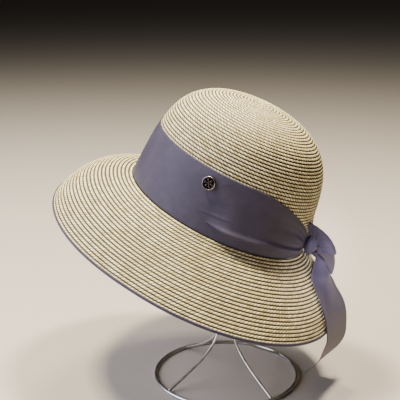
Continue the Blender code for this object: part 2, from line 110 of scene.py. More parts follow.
# Loops of the bow: the way each leaves the knot, how far its front and back layers puff in shares of
# LOOP_PUFF, and its corners, steps from the knot's middle, back, left and up, in shares of LOOP_REACH
LOOP_REACH, LOOP_PUFF, LOOP_ROOT, LOOP_LAYERS = 0.063, 0.010, 0.008, 0.0026
LOOP_PLEATS, FRONT_PLEAT, BACK_PLEAT = 6.0, 0.0005, 0.0056
LOOP_CREASE, LOOP_SPILL, LOOP_GRID = 0.0008, 0.030, (61, 73)
LOOPS = {
    "bow_loop_upper": {
        "leaves": (0.80, 0.20, 0.75), "front": 0.60, "back": 0.75,
        "corners": ((-0.15, -0.20, 0.44), (0.31, -0.10, 0.46), (0.41, 0.10, 0.09)),
    },
    "bow_loop_lower": {
        "leaves": (0.16, 0.94, 0.04), "front": 0.25, "back": 0.60,
        "corners": ((0.03, 0.82, -0.04), (0.42, 1.03, -0.22), (0.40, 0.88, -0.60)),
    },
}

# Tail: turn round the brim in degrees, reach in brim widths, lift in ribbon widths, how far it is open,
# and the back and up parts of the direction across it
TAIL_ROWS = np.array((
    (4.5, 0.065, 0.212, 0.12, 0.14, -0.10), (3.9, 0.115, 0.190, 0.25, 0.15, -0.15),
    (2.6, 0.155, 0.155, 0.38, 0.16, -0.18), (0.8, 0.195, 0.115, 0.53, 0.20, -0.17),
    (-1.6, 0.245, 0.078, 0.69, 0.24, -0.18), (-3.4, 0.310, 0.055, 0.83, 0.25, -0.17),
    (-3.6, 0.390, 0.050, 0.93, 0.23, -0.19), (-2.6, 0.540, 0.050, 0.99, 0.24, -0.19),
    (-1.8, 0.700, 0.050, 1.00, 0.24, -0.21), (-1.4, 0.860, 0.050, 1.00, 0.21, -0.26),
    (-2.4, 0.980, 0.050, 1.00, 0.18, -0.28), (-2.8, 1.080, 0.035, 1.00, 0.12, -0.32),
    (-2.6, 1.170, -0.030, 1.00, 0.06, -0.36), (-2.3, 1.260, -0.105, 1.00, -0.01, -0.38),
    (-2.0, 1.340, -0.180, 0.96, -0.06, -0.40), (-2.4, 1.430, -0.335, 0.62, -0.07, -0.40),
    (-2.9, 1.490, -0.490, 0.08, -0.08, -0.40),
))
TAIL_GRID = (161, 33)
TAIL_RIPPLE, TAIL_FOLD, TAIL_FOLD_AT = 0.0006, 0.0080, 0.46

# Wire stand
RING_RADIUS, RING_WIRE, RING_FLAT, HOOP_WIRE = 0.0800, 0.0040, 0.0003, 0.0030
NECK_RADIUS, NECK_HEIGHT = 0.0115, 0.0620
BALL_RADIUS, STAND_HEIGHT = 0.0650, 0.3190
HOOP_TURNS, HOOP_CROSSING = (36.0, 126.0), 0.0013
COLLAR_WIRE, COLLAR_OUT = 0.0026, 0.0012
LEG_INWARD, LEG_RISE, LEG_STEEP, FLARE_RISE, FLARE_SWELL = 0.52, 0.30, 0.45, 0.32, 0.43
ARC_HANDLE = 0.5523

# Where the hat sits, and the middle of the stand after the whole model was centred
HAT_TILT, HAT_TOWARDS, HAT_TURN = 23.3, -20.0, -26.1
HAT_SEAT = np.array((-0.0104, 0.0009, 0.1971))
STAND_MIDDLE = np.array((0.02924, -0.01100, 0.0))
CAMERA_PLACE, CAMERA_PITCH, CAMERA_LENS = (-0.0300, -0.8824, 0.4457), 15.28, 76.5

# Stage: area lights by name, place, size, watts and colour, aimed at LIT_POINT, and a spot on the bow
FLOOR_HALF, FLOOR_COLOUR = 15, (0.44, 0.40, 0.36, 1.0)
WORLD_COLOUR, WORLD_STRENGTH = (1.0, 0.92, 0.84, 1.0), 0.02
LIT_POINT = np.array((0.0, 0.0, 0.19))
AREA_LIGHTS = (
    ("overhead left", (-0.45, -0.10, 1.70), 0.22, 58.0, (1.0, 0.93, 0.62)),
    ("overhead right", (0.30, 0.00, 1.70), 0.22, 50.0, (1.0, 0.85, 0.68)),
    ("behind", (0.0, 0.60, 1.60), 0.30, 20.0, (1.0, 0.86, 0.62)),
    ("left", (-1.6, -0.35, 0.95), 2.0, 74.0, (0.86, 0.86, 1.0)),
)
SPOT_WATTS, SPOT_COLOUR, SPOT_SOFT = 560.0, (0.96, 0.91, 1.0), 0.04
SPOT_CONE, SPOT_BLEND, SPOT_AWAY = 3.6, 0.85, 1.4
SPOT_FROM_KNOT, SPOT_SIDE = np.array((0.030, 0.0, -0.030)), (-0.10, -0.95, 0.24)


# ---------------------------------------------------------------- shapes in numbers
def unit(vectors):
    vectors = np.asarray(vectors, float)
    return vectors / np.linalg.norm(vectors, axis=-1, keepdims=True)


def smooth(values, low, high):
    """0 below low, 1 above high, and 3t^2 - 2t^3 between them."""
    t = np.clip((np.asarray(values, float) - low) / (high - low), 0.0, 1.0)
    return t * t * (3 - 2 * t)


def turned(axis, degrees):
    return np.array(Matrix.Rotation(math.radians(degrees), 3, axis))


HAT_TURNED = turned("Z", HAT_TOWARDS) @ turned("Y", HAT_TILT) @ turned("Z", HAT_TURN - HAT_TOWARDS)


def on_stand(points):
    """Points of the hat's own frame, tilted and set down on the stand."""
    return points @ HAT_TURNED.T + HAT_SEAT + STAND_MIDDLE


def turns(count):
    return np.linspace(0.0, 2 * math.pi, count, endpoint=False)


def curve_through(rows, count):
    """Natural cubic spline through the rows of a table, read at count even steps."""
    rows = np.asarray(rows, float)
    last = len(rows) - 1
    system = np.eye(last + 1)
    pull = np.zeros_like(rows)
    for i in range(1, last):
        system[i, i - 1 : i + 2] = (1, 4, 1)
        pull[i] = 6 * (rows[i + 1] - 2 * rows[i] + rows[i - 1])
    bend = np.linalg.solve(system, pull)
    at = np.linspace(0, last, count)
    i = np.minimum(at.astype(int), last - 1)
    t = (at - i)[:, None]
    return (
        rows[i] * (1 - t) + rows[i + 1] * t
        + ((1 - t) ** 3 - (1 - t)) * bend[i] / 6 + (t**3 - t) * bend[i + 1] / 6
    )


def crown_profile(arc):
    """Height, width share and their slopes at shares of the arc from the crown's base to its tip.

    The height is up H with up = sin(90 q)^(2/square), and the width share is
    (1 - taper up) cos(90 q)^(2/round): a tapered superellipse.
    """
    q = np.linspace(0.0, 1.0, 8001) * math.pi / 2
    up = np.sin(q) ** (2 / SHOULDER_SQUARE)
    share = (1 - CROWN_TAPER * up) * np.clip(np.cos(q), 0, 1) ** (2 / SHOULDER_ROUND)
    rise, run = np.diff(up) * CROWN_HEIGHT, np.diff(share) * (CROWN_LENGTH + CROWN_WIDTH) / 4
    length = np.concatenate([[0.0], np.cumsum(np.hypot(rise, run))])
    even = np.linspace(0.0, length[-1], 801)
    height, share = np.interp(even, length, up * CROWN_HEIGHT), np.interp(even, length, share)
    columns = (height, share, np.gradient(height, even), np.gradient(share, even))
    return [np.interp(np.asarray(arc) * length[-1], even, column) for column in columns]


def crown_skin(turn, arc, depth):
    """Points at a depth under the crown's face: (a s cos, b s sin, z) less depth along its normal."""
    height, share, climb, narrow = crown_profile(arc)
    a, b = CROWN_LENGTH / 2, CROWN_WIDTH / 2
    face = np.stack([a * share * np.cos(turn), b * share * np.sin(turn), height + 0 * turn], -1)
    normal = np.stack([b * climb * np.cos(turn), a * climb * np.sin(turn), -a * b * narrow + 0 * turn], -1)
    return face - unit(normal) * np.asarray(depth)[..., None]


def crown_share(height):
    up = np.clip(np.asarray(height) / CROWN_HEIGHT, 0.0, 1.0)
    return (1 - CROWN_TAPER * up) * (1 - up**SHOULDER_SQUARE) ** (1 / SHOULDER_ROUND)


def crown_point(turn, height, out, share=None):
    """A point level with the crown's oval at a height, out from it along the oval's normal."""
    share = crown_share(height) if share is None else share
    a, b = CROWN_LENGTH / 2 * share, CROWN_WIDTH / 2 * share
    level = unit(np.stack([np.cos(turn) / a, np.sin(turn) / b, 0 * turn * height], -1))
    oval = np.stack([a * np.cos(turn), b * np.sin(turn), height + 0 * turn], -1)
    return oval + level * np.asarray(out)[..., None]


def brim_section(turn):
    """Width and both slopes of the brim by direction: front, side and back blended by cos^1.5."""
    front = np.maximum(-np.cos(turn), 0.0) ** SECTION_BLEND
    back = np.maximum(np.cos(turn), 0.0) ** SECTION_BLEND
    weights = (("front", front), ("side", 1 - front - back), ("back", back))
    width, slope_in, slope_out = (sum(w * BRIM_SECTIONS[at][i] for at, w in weights) for i in range(3))
    return width * BRIM_WIDTH, np.radians(slope_in), np.radians(slope_out)


def brim_frame(turn, share):
    """Point, outward direction and upward normal of the brim's face: an arc whose slope grows evenly."""
    turn, share = np.broadcast_arrays(np.asarray(turn, float), np.asarray(share, float))
    width, slope_in, slope_out = brim_section(turn)
    bend = slope_out - slope_in
    inside = np.minimum(share, 1.0)
    slope = slope_in + bend * inside
    past = width * (share - inside)
    out = width * (np.sin(slope) - np.sin(slope_in)) / bend + past * np.cos(slope)
    down = width * (np.cos(slope_in) - np.cos(slope)) / bend + past * np.sin(slope)
    foot = crown_point(turn, 0.0, GAP + 0 * turn, share=1.0)
    edge_out, edge = (crown_point(turn, 0.0, step + 0 * turn, share=1.0) for step in (1.0, 0.0))
    level, rise = unit(edge_out - edge), np.array((0.0, 0.0, 1.0))
    cos, sin = np.cos(slope)[..., None], np.sin(slope)[..., None]
    face = foot + level * out[..., None] - rise * down[..., None]
    return face, level * cos - rise * sin, level * sin + rise * cos


def band_height(turn):
    away = np.abs((np.degrees(turn) - KNOT_TURN + 180.0) % 360.0 - 180.0)
    spread = np.sin(np.radians(90.0) * np.minimum(away / GATHER_SPAN, 1.0))
    return RIBBON_WIDTH * (GATHER_SHARE + (1 - GATHER_SHARE) * spread), away


# ---------------------------------------------------------------- meshes
def grid_mesh(name, grid, uv=None, ring=False, loop=False, poles=(None, None)):
    """Quads over a grid of points. ring joins the last column to the first, loop the last row to the
    first, and poles are points that close the first and last row. uv has one pair for each corner,
    so one more column than the grid in a ring and one more row in a loop. A tuple of two tables
    gives the lower and the upper corners of each strip of quads instead."""
    rows, columns = grid.shape[:2]
    index = np.arange(rows * columns).reshape(rows, columns)
    if loop:
        index = np.vstack([index, index[:1]])
    if ring:
        index = np.hstack([index, index[:, :1]])
    corners = ((slice(None, -1), slice(None, -1)), (slice(None, -1), slice(1, None)),
               (slice(1, None), slice(1, None)), (slice(1, None), slice(None, -1)))
    faces = np.stack([index[at] for at in corners], -1).reshape(-1, 4).tolist()
    points = grid.reshape(-1, 3).tolist()
    for end, pole in enumerate(poles):
        if pole is not None:
            edge = index[-1] if end else index[0][::-1]
            faces += [(a, b, len(points)) for a, b in zip(edge[:-1].tolist(), edge[1:].tolist())]
            points.append(list(pole))
    mesh = bpy.data.meshes.new(name)
    mesh.from_pydata(points, [], faces)
    if uv is not None:
        lower, upper = uv if isinstance(uv, tuple) else (uv[:-1], uv[1:])
        flat = np.stack([lower[:, :-1], lower[:, 1:], upper[:, 1:], upper[:, :-1]], 2).reshape(-1, 2)
        spare = len(mesh.loops) - len(flat)
        layer = mesh.uv_layers.new(name="Cloth")
        layer.data.foreach_set("uv", np.concatenate([flat, np.zeros((spare, 2))]).ravel())
    mesh.shade_smooth()
    return mesh


def put_in_scene(name, data):
    made = bpy.data.objects.new(name, data)
    bpy.context.scene.collection.objects.link(made)
    return made


def add_piece(name, mesh, finish, node, wall=None, inward=False):
    """wall is the thickness and offset of an open sheet. inward says that the faces of a closed mesh
    look inward. They are turned, and its finish is a copy that reads the bump the other way."""
    if inward:
        mesh.flip_normals()
        finish = finish.copy()
        for step in finish.node_tree.nodes:
            if step.bl_idname == "ShaderNodeBump":
                step.invert = True
    piece = put_in_scene(name, mesh)
    mesh.materials.append(finish)
    if wall:
        made = piece.modifiers.new("Wall", "SOLIDIFY")
        made.thickness, made.offset = wall
        made.use_even_offset = False
    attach(piece, "root")
    if node:
        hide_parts(node)
    return piece


def join_meshes(name, meshes):
    """One mesh out of several, which are then removed."""
    points, faces, start = [], [], 0
    for mesh in meshes:
        points += [tuple(v.co) for v in mesh.vertices]
        faces += [tuple(i + start for i in face.vertices) for face in mesh.polygons]
        start = len(points)
        bpy.data.meshes.remove(mesh)
    joined = bpy.data.meshes.new(name)
    joined.from_pydata(points, [], faces)
    joined.shade_smooth()
    return joined


# ---------------------------------------------------------------- finishes
class Value:
    """An output of a shader node. Python's operators on it add Math nodes."""

    def __init__(self, paint, node, index=0):
        self.paint, self.node, self.socket = paint, node, node.outputs[index]

    def out(self, index):
        return Value(self.paint, self.node, index)

    def math(self, operation, *others):
        return self.paint.math(operation, self, *others)

    def __add__(self, other):
        return self.math("ADD", other)

    def __sub__(self, other):
        return self.math("SUBTRACT", other)

    def __rsub__(self, other):
        return self.paint.math("SUBTRACT", other, self)

    def __mul__(self, other):
        return self.math("MULTIPLY", other)

    __radd__ = __add__


class Paint:
    """One material and its nodes. Constants go straight onto the shader's own sockets."""

    def __init__(self, name, **constants):
        self.material = bpy.data.materials.new(name)
        self.material.use_nodes = True
        self.tree = self.material.node_tree
        self.shader = self.tree.nodes["Principled BSDF"]
        for socket, value in constants.items():
            self.shader.inputs[socket.replace("_", " ")].default_value = value

    def node(self, kind, settings=None, inputs=None, output=0):
        made = self.tree.nodes.new(kind)
        for key, value in (settings or {}).items():
            setattr(made, key, value)
        for socket, value in (inputs or {}).items():
            if isinstance(value, Value):
                self.tree.links.new(value.socket, made.inputs[socket])
            else:
                made.inputs[socket].default_value = value
        return Value(self, made, output)

    def math(self, operation, *values):
        return self.node("ShaderNodeMath", {"operation": operation}, dict(enumerate(values)))

    def step(self, value, low, high):
        inputs = {0: value, 1: low, 2: high, 3: 0.0, 4: 1.0}
        return self.node("ShaderNodeMapRange", {"interpolation_type": "SMOOTHSTEP"}, inputs)

    def mix(self, share, first, second):
        first, second = (c if isinstance(c, Value) else (*c, 1.0) for c in (first, second))
        return self.node("ShaderNodeMix", {"data_type": "RGBA"}, {0: share, 6: first, 7: second}, 2)

    def vector(self, x, y, z=0.0):
        return self.node("ShaderNodeCombineXYZ", None, {0: x, 1: y, 2: z})

    def noise(self, vector, scale, detail=2.0, rough=0.5):
        inputs = {"Vector": vector, "Scale": scale, "Detail": detail, "Roughness": rough}
        return self.node("ShaderNodeTexNoise", None, inputs)

    def place(self):
        """Object coordinates."""
        return self.node("ShaderNodeTexCoord", None, None, 3)

    def cloth(self):
        """The piece's own UV map, along it and, as out(1), across it."""
        return self.node("ShaderNodeSeparateXYZ", None, {0: self.node("ShaderNodeUVMap", {"uv_map": "Cloth"})})

    def done(self, colour, roughness=None, height=None, distance=0.0):
        self.tree.links.new(colour.socket, self.shader.inputs["Base Color"])
        if roughness is not None:
            self.tree.links.new(roughness.socket, self.shader.inputs["Roughness"])
        if height is not None:
            bump = self.node("ShaderNodeBump", None, {"Height": height, "Distance": distance, "Strength": 1.0})
            self.tree.links.new(bump.socket, self.shader.inputs["Normal"])
        return self.material


def straw_finish():
    """Paper braid: rows of slanted plaits with painted shade in the seams and the splits, each plait its own
    tone, fine fibres.

    Where a plait's edge meets a seam the hollow is deepest and the painted shade there is darkest, which
    leaves the dark dots along each seam.
    """
    paint = Paint("braided straw", Specular_IOR_Level=0.4)
    along = paint.cloth()
    up = along.out(1)
    row = up.math("FLOOR")
    within = up - row
    slanted = along + (within - 0.5) * PLAIT_SLANT
    cell = slanted.math("FLOOR")
    plait = slanted - cell
    wobble = paint.noise(paint.vector(along * 0.7, row * 3.7), 1.0, 2.0) * 0.10 - 0.05
    edge = within.math("PINGPONG", 0.5) + wobble
    split_edge = plait.math("PINGPONG", 0.5)
    seam = paint.step(edge, 0.09, 0.33)
    split = paint.step(split_edge, 0.02, 0.30)
    dot = (1 - paint.step(split_edge, 0.05, 0.25)) * (1 - paint.step(edge, 0.14, 0.36))
    which = {"Vector": paint.vector(cell, row)}
    chance = paint.node("ShaderNodeTexWhiteNoise", {"noise_dimensions": "2D"}, which)
    fibre = paint.noise(paint.vector(slanted * 6.0, within * 1.4 + row * 5.3), 1.0, 3.0, 0.6)
    cloud = paint.noise(paint.place(), 22.0, 3.0, 0.6)
    straw = paint.mix(chance, (0.62, 0.50, 0.24), (0.97, 0.89, 0.58))
    straw = paint.mix(paint.step(fibre, 0.42, 0.75) * 0.50, straw, (0.40, 0.29, 0.13))
    straw = paint.mix(paint.step(cloud, 0.40, 0.70) * 0.22, straw, (0.60, 0.48, 0.27))
    # Painted shade: the seams, the splits between plaits and the dots where they meet are darkened as shade in
    # the hollows; the same masks also shape the bump.
    raised = seam * (split * 0.66 + 0.34)
    colour = paint.mix(raised, (0.040, 0.031, 0.014), straw)
    colour = paint.mix(dot * 0.9, colour, (0.012, 0.009, 0.004))
    roughness = 0.52 + fibre * 0.28
    return paint.done(colour, roughness, raised * 0.8 + fibre * 0.22 - dot * 0.3, 0.0007)


def ribbon_finish():
    """Lilac-grey ribbon: a fine ribbed weave across its length, a soft gloss and a faint mottle."""
    paint = Paint("lilac grey ribbon", Specular_IOR_Level=0.2, Specular_Tint=(0.80, 0.80, 1.0, 1.0))
    along = paint.cloth()
    across = along.out(1)
    rib = (along * (2 * math.pi / RIB_SPACING)).math("SINE")
    thread = (across * (2 * math.pi / THREAD_SPACING)).math("SINE")
    mottle = paint.noise(paint.place(), 60.0, 4.0, 0.6)
    slub = paint.noise(paint.vector(along * 260.0, across * 1400.0), 1.0, 2.0, 0.5)
    colour = paint.mix(paint.step(mottle, 0.3, 0.7), (0.043, 0.038, 0.062), (0.055, 0.048, 0.078))
    colour = paint.mix((rib * 0.5 + 0.5) * 0.18 + slub * 0.12, colour, (0.020, 0.017, 0.033))
    roughness = 0.38 + slub * 0.14
    return paint.done(colour, roughness, rib * 0.5 + thread * 0.2 + slub * 0.5, 0.00005)


def thread_finish():
    paint = Paint("stitch thread", Roughness=0.7)
    twist = paint.noise(paint.place(), 900.0, 2.0)
    return paint.done(paint.mix(twist, (0.05, 0.045, 0.06), (0.12, 0.11, 0.15)))


def pin_finish():
    """Cast metal: a dark face with worn petals, and a rolled rim polished bright. Its UV map has the
    turn as a share of the round, and the distance from the middle as a share of the radius."""
    paint = Paint("dark pin metal", Metallic=1.0)
    at = paint.cloth()
    patches = paint.noise(paint.place(), 700.0, 3.0, 0.6)
    reach = at.out(1)
    petal = (at * (2 * PETALS * math.pi)).math("COSINE")
    worn = paint.step(petal, 0.1, 0.9) * paint.step(reach, 0.18, 0.34) * (1 - paint.step(reach, 0.52, 0.68))
    worn = worn + (1 - paint.step(reach, 0.08, 0.18)) * 0.6
    rim = paint.step(reach, 0.86, 0.93)
    colour = paint.mix(worn * 0.4, (0.010, 0.008, 0.008), (0.30, 0.24, 0.19))
    colour = paint.mix(rim, colour, (0.34, 0.30, 0.27))
    colour = paint.mix(paint.step(patches, 0.45, 0.75) * 0.35, colour, (0.05, 0.04, 0.035))
    return paint.done(colour, 0.12 + patches * 0.16, patches, 0.00003)


def wire_finish():
    """Drawn steel wire: bright, with faint length scratches and duller patches."""
    paint = Paint("drawn steel wire", Metallic=1.0)
    patches = paint.noise(paint.place(), 90.0, 3.0, 0.6)
    grain = paint.noise(paint.place(), 1600.0, 2.0, 0.5)
    colour = paint.mix(paint.step(patches, 0.3, 0.7), (0.38, 0.385, 0.39), (0.54, 0.545, 0.55))
    return paint.done(colour, 0.22 + patches * 0.14 + grain * 0.08, grain, 0.00002)


# ---------------------------------------------------------------- straw
def plait_count(length, columns):
    """Plaits round each row: the number nearest to its length over a plait that shares the columns evenly."""
    counts = np.array([n for n in range(8, columns // 3 + 1) if columns % n == 0])
    return counts[np.argmin(np.abs(counts - length[:, None] / PLAIT_LENGTH), axis=1)]


def braid(turn, row, counts):
    """Depth under the face, w from 0 to 1 across a row: |2w - 1|^3 down to the seams, and a cosine
    along the row with one wave to each slanted plait, which fades as 1 - (2w - 1)^2 to the seams."""
    which = np.minimum(np.floor(row).astype(int), len(counts) - 1)
    within = row - np.floor(row)
    slanted = turn / (2 * math.pi) * counts[which] + (within - 0.5) * PLAIT_SLANT
    edge = np.abs(2 * within - 1)
    plait = 0.5 + 0.5 * np.cos(2 * math.pi * slanted)
    return ROW_RELIEF * edge**3 + PLAIT_RELIEF * plait * (1 - edge**2)


def braid_uv(rows, counts, columns):
    """Corner pairs of each strip of quads: plaits round the row, and rows up."""
    at = np.arange(columns + 1) / columns
    middle = (rows[:-1] + rows[1:]) / 2
    which = np.clip(np.floor(middle).astype(int), 0, len(counts) - 1)
    u = at[None, :] * counts[which][:, None]
    return tuple(np.stack([u, np.broadcast_to(v[:, None], u.shape)], -1) for v in (rows[:-1], rows[1:]))


def build_crown(finish):
    """The braided dome, a hem that leans as the brim's inner edge does, and a smooth wall inside.

    The first HIDDEN_ROWS lie behind the band and have only their seams and middles.
    """
    turn = turns(CROWN_COLUMNS)[None, :]
    shown = [(k, w) for k in range(CROWN_ROWS) for w in ROW_POINTS if k >= HIDDEN_ROWS or w in (0.0, 0.5)]
    rows = np.array([k + w for k, w in shown])[:, None]
    shares = crown_profile((np.arange(CROWN_ROWS) + 0.5) / CROWN_ROWS)[1]
    counts = plait_count(shares * math.pi * (CROWN_LENGTH + CROWN_WIDTH) / 2, CROWN_COLUMNS)
    outer = crown_skin(turn, rows / CROWN_ROWS + 0 * turn, braid(turn, rows, counts))
    _, slope_in, slope_out = brim_section(turn)
    slope = slope_in + (slope_out - slope_in) * HEM_STEP
    hem = crown_point(turn, 0.0, -WALL * np.sin(slope), share=1.0)
    hem[..., 2] -= WALL * np.cos(slope)
    hem_inside = crown_point(turn, 0.0, -WALL * np.sin(slope) - WALL, share=1.0)
    hem_inside[..., 2] -= WALL * np.cos(slope)
    within = np.linspace(0.0, 1.0, 15)[:-1, None]
    inner = crown_skin(turn, within + 0 * turn, WALL + 0 * within * turn)
    grid = np.concatenate([outer[::-1], hem, hem_inside, inner])
    at = np.concatenate([rows[::-1, 0], [0.0, 0.0], within[:, 0] * CROWN_ROWS])
    poles = tuple(on_stand(crown_skin(np.zeros(1), np.ones(1), np.full(1, depth))[0]) for depth in (0.0, WALL))
    uv = braid_uv(at, counts, CROWN_COLUMNS)
    mesh = grid_mesh("straw_crown", on_stand(grid), uv, ring=True, poles=poles)
    return add_piece("straw_crown", mesh, finish, "crown", inward=True)


def build_brim(finish):
    """The braided upper side, and a smooth under side one wall below it."""
    turn = turns(BRIM_COLUMNS)[None, :]
    rows = np.array([k + w for k in range(BRIM_ROWS) for w in ROW_POINTS] + [BRIM_ROWS - RIM_STEP])[:, None]
    middle = brim_frame(turns(360)[None, :], (np.arange(BRIM_ROWS)[:, None] + 0.5) / BRIM_ROWS)[0]
    length = np.linalg.norm(np.diff(middle, axis=1, append=middle[:, :1]), axis=2).sum(1)
    counts = plait_count(length, BRIM_COLUMNS)
    face, _, normal = brim_frame(turn, rows / BRIM_ROWS + 0 * turn)
    top = face - normal * braid(turn, rows, counts)[..., None]
    under_rows = np.linspace(BRIM_ROWS, 0.0, 12)[:, None]
    face, _, normal = brim_frame(turn, under_rows / BRIM_ROWS + 0 * turn)
    under = face - normal * WALL
    grid = np.concatenate([top, under])
    at = np.concatenate([rows[:, 0], under_rows[:, 0], rows[:1, 0]])
    mesh = grid_mesh("straw_brim", on_stand(grid), braid_uv(at, counts, BRIM_COLUMNS), ring=True, loop=True)
    mesh.flip_normals()
    return add_piece("straw_brim", mesh, finish, "brim")


# ---------------------------------------------------------------- ribbon
def build_stitches(finish, count):
    """Two rows of stitches along the binding, over and under the rim: barrels of radius sqrt(1 - x^2)."""
    rim, outward, normal = brim_frame(turns(count), 1.0)
    ahead = unit(np.cross(normal, outward))
    steps = np.linspace(-1, 1, 5)
    body, ring = np.meshgrid(np.sqrt(1 - (steps * 0.94) ** 2), turns(6)[::-1], indexing="ij")
    out, up = (body * wave * half for wave, half in zip((np.cos(ring), np.sin(ring)), STITCH_ACROSS))
    meshes = []
    for height in (STITCH_UP, -WALL - STITCH_UP):
        middle = rim + outward * (-BINDING_DEPTH + STITCH_IN) + normal * height
        points = (
            middle[:, None, None] + ahead[:, None, None] * (steps[:, None] * STITCH_HALF)[None, :, :, None]
            + outward[:, None, None] * out[None, ..., None] + normal[:, None, None] * up[None, ..., None]
        )
        for stitch in on_stand(points):
            ends = stitch[0].mean(0), stitch[-1].mean(0)
            meshes.append(grid_mesh("stitch", stitch, ring=True, poles=ends))
    return add_piece("rim_stitches", join_meshes("rim_stitches", meshes), finish, None)


def build_binding(finish, thread):
    """A ribbon folded round the rim: a flat U with a round bottom, carried round the brim."""
    half = WALL / 2 + BINDING_EDGE
    arc = np.radians(np.linspace(90, -90, 9))
    edge = np.array([(-BINDING_DEPTH * share, up) for share, up in (
        (1.0, BINDING_EDGE), (0.6, BINDING_SWELL), (0.25, BINDING_SWELL),
    )])
    bend = np.stack([np.cos(arc) * BINDING_NOSE, np.sin(arc) * half - WALL / 2], -1)
    path = np.concatenate([edge, bend, edge[::-1] * (BINDING_UNDER, -1) - (0, WALL)])
    along = np.gradient(path, axis=0)
    side = unit(np.stack([-along[:, 1], along[:, 0]], -1)) * RIBBON_THICK / 2
    section = np.concatenate([path + side, (path - side)[::-1]])
    rim, outward, normal = (a[None] for a in brim_frame(turns(BINDING_COLUMNS), 1.0))
    grid = rim + outward * section[:, None, :1] + normal * section[:, None, 1:]
    length = float(np.linalg.norm(np.diff(rim[0], axis=0, append=rim[0][:1]), axis=1).sum())
    across = np.concatenate([[0], np.cumsum(np.linalg.norm(np.diff(section, axis=0), axis=1)), [0]])
    round_it = np.linspace(0.0, length, BINDING_COLUMNS + 1)
    uv = np.stack(np.broadcast_arrays(round_it[None, :], across[:, None]), -1)
    mesh = grid_mesh("rim_binding", on_stand(grid), uv, ring=True, loop=True)
    binding = add_piece("rim_binding", mesh, finish, "brim_binding", inward=True)
    stitches = build_stitches(thread, int(length / STITCH_SPACING))
    return binding


def build_band(finish):
    """The band: at each turn a flat lower strip, an S-shaped lip at the fold, and a face that falls back.

    Above the fold, x from 0 at the fold to 1 at the upper edge, the face stands out by
    proud (0.72 (1 - x / 0.75)^1.6 + 0.42 exp(-(x / 0.05)^2)). Towards the knot, waves along the band
    grow as the ribbon is drawn together. Each short crease is a ridge or a valley exp(-d^2), d its
    distance in half widths, that fades towards its ends.
    """
    turn = turns(BAND_COLUMNS)[None, :]
    degrees = (np.degrees(turn) + 180.0) % 360.0 - 180.0
    top, away = band_height(turn)
    fold = np.minimum(np.interp(degrees, FOLD_LINE[:, 0], FOLD_LINE[:, 1]), top * 0.5)
    proud = smooth(np.abs(degrees), FOLD_STARTS, FOLD_STARTS - FOLD_FADES)
    proud = proud * smooth(away, FOLD_MEETS, FOLD_OPENS) * FOLD_PROUD
    lower = np.linspace(0.0, 1.0, 10)[:, None]
    x = np.linspace(0.0, 1.0, 44)[1:, None] ** 1.25
    bottom = 2 * GAP
    lip = np.arange(1, len(FOLD_LIP) + 1)[:, None] * FOLD_LIP_RISE
    heights = np.concatenate([
        bottom + (fold + 0.42 * proud - bottom) * lower,
        fold + lip + proud * FOLD_LIP[:, :1],
        fold + lip[-1] + (top - fold - lip[-1]) * x,
    ])
    rise = np.clip(1 - x / 0.75, 0, 1) ** 1.6 * 0.72 + 0.42 * np.exp(-((x / 0.05) ** 2))
    outs = np.concatenate([proud * 0.04 * lower, proud * FOLD_LIP[:, 1:], proud * rise])
    share = np.clip((heights - bottom) / (top - bottom), 0, 1)
    gather = np.clip((GATHER_SPAN - away) / GATHER_SPAN, 0, 1) ** 1.6 * smooth(away, 3.0, 12.0)
    wave = np.sin(2 * math.pi * (share * 2.6 + 0.10 * np.sin(turn * 9.0))) * 0.5 + 0.5
    fine = np.sin(2 * math.pi * (share * 6.1 + 0.3 * np.sin(turn * 6.0))) * 0.5 + 0.5
    outs = outs + gather * (GATHER_WAVE * wave + GATHER_FINE * fine) * smooth(share, 0.25, 0.45)
    drift = np.sin(turn * 5 + share * 4.0) * np.sin(turn * 11 + 1.0) * 0.5 + 0.5
    outs = outs + BAND_DRIFT * drift * smooth(share, 0.05, 0.3) * smooth(1 - share, 0.0, 0.2)
    round_it = degrees * math.pi / 180 * CREASE_RADIUS
    for at, height, long, lean, rises in CREASES:
        along, over = round_it - math.radians(at) * CREASE_RADIUS, heights - height
        cos, sin = math.cos(math.radians(lean)), math.sin(math.radians(lean))
        run, off = along * cos + over * sin, over * cos - along * sin
        strength, half = (1.0, RIDGE_HALF) if rises > 0 else (0.6, VALLEY_HALF)
        outs = outs + rises * strength * np.exp(-((run / long * 2) ** 2) - (off / half) ** 2)
    grid = crown_point(turn + 0 * heights, heights, GAP + 0.0003 + np.maximum(outs, -0.0002))
    length = math.pi * (CROWN_LENGTH + CROWN_WIDTH) / 2
    u = np.linspace(0.0, length, BAND_COLUMNS + 1)[None, :]
    step = np.linalg.norm(np.diff(grid, axis=0), axis=2).mean(1)
    v = np.concatenate([[0.0], np.cumsum(step)])[:, None]
    uv = np.stack(np.broadcast_arrays(u, v), -1)
    mesh = grid_mesh("hat_ribbon", on_stand(grid), uv, ring=True)
    band = add_piece("hat_ribbon", mesh, finish, "hat_band", wall=(RIBBON_THICK, 0.0))
    return band


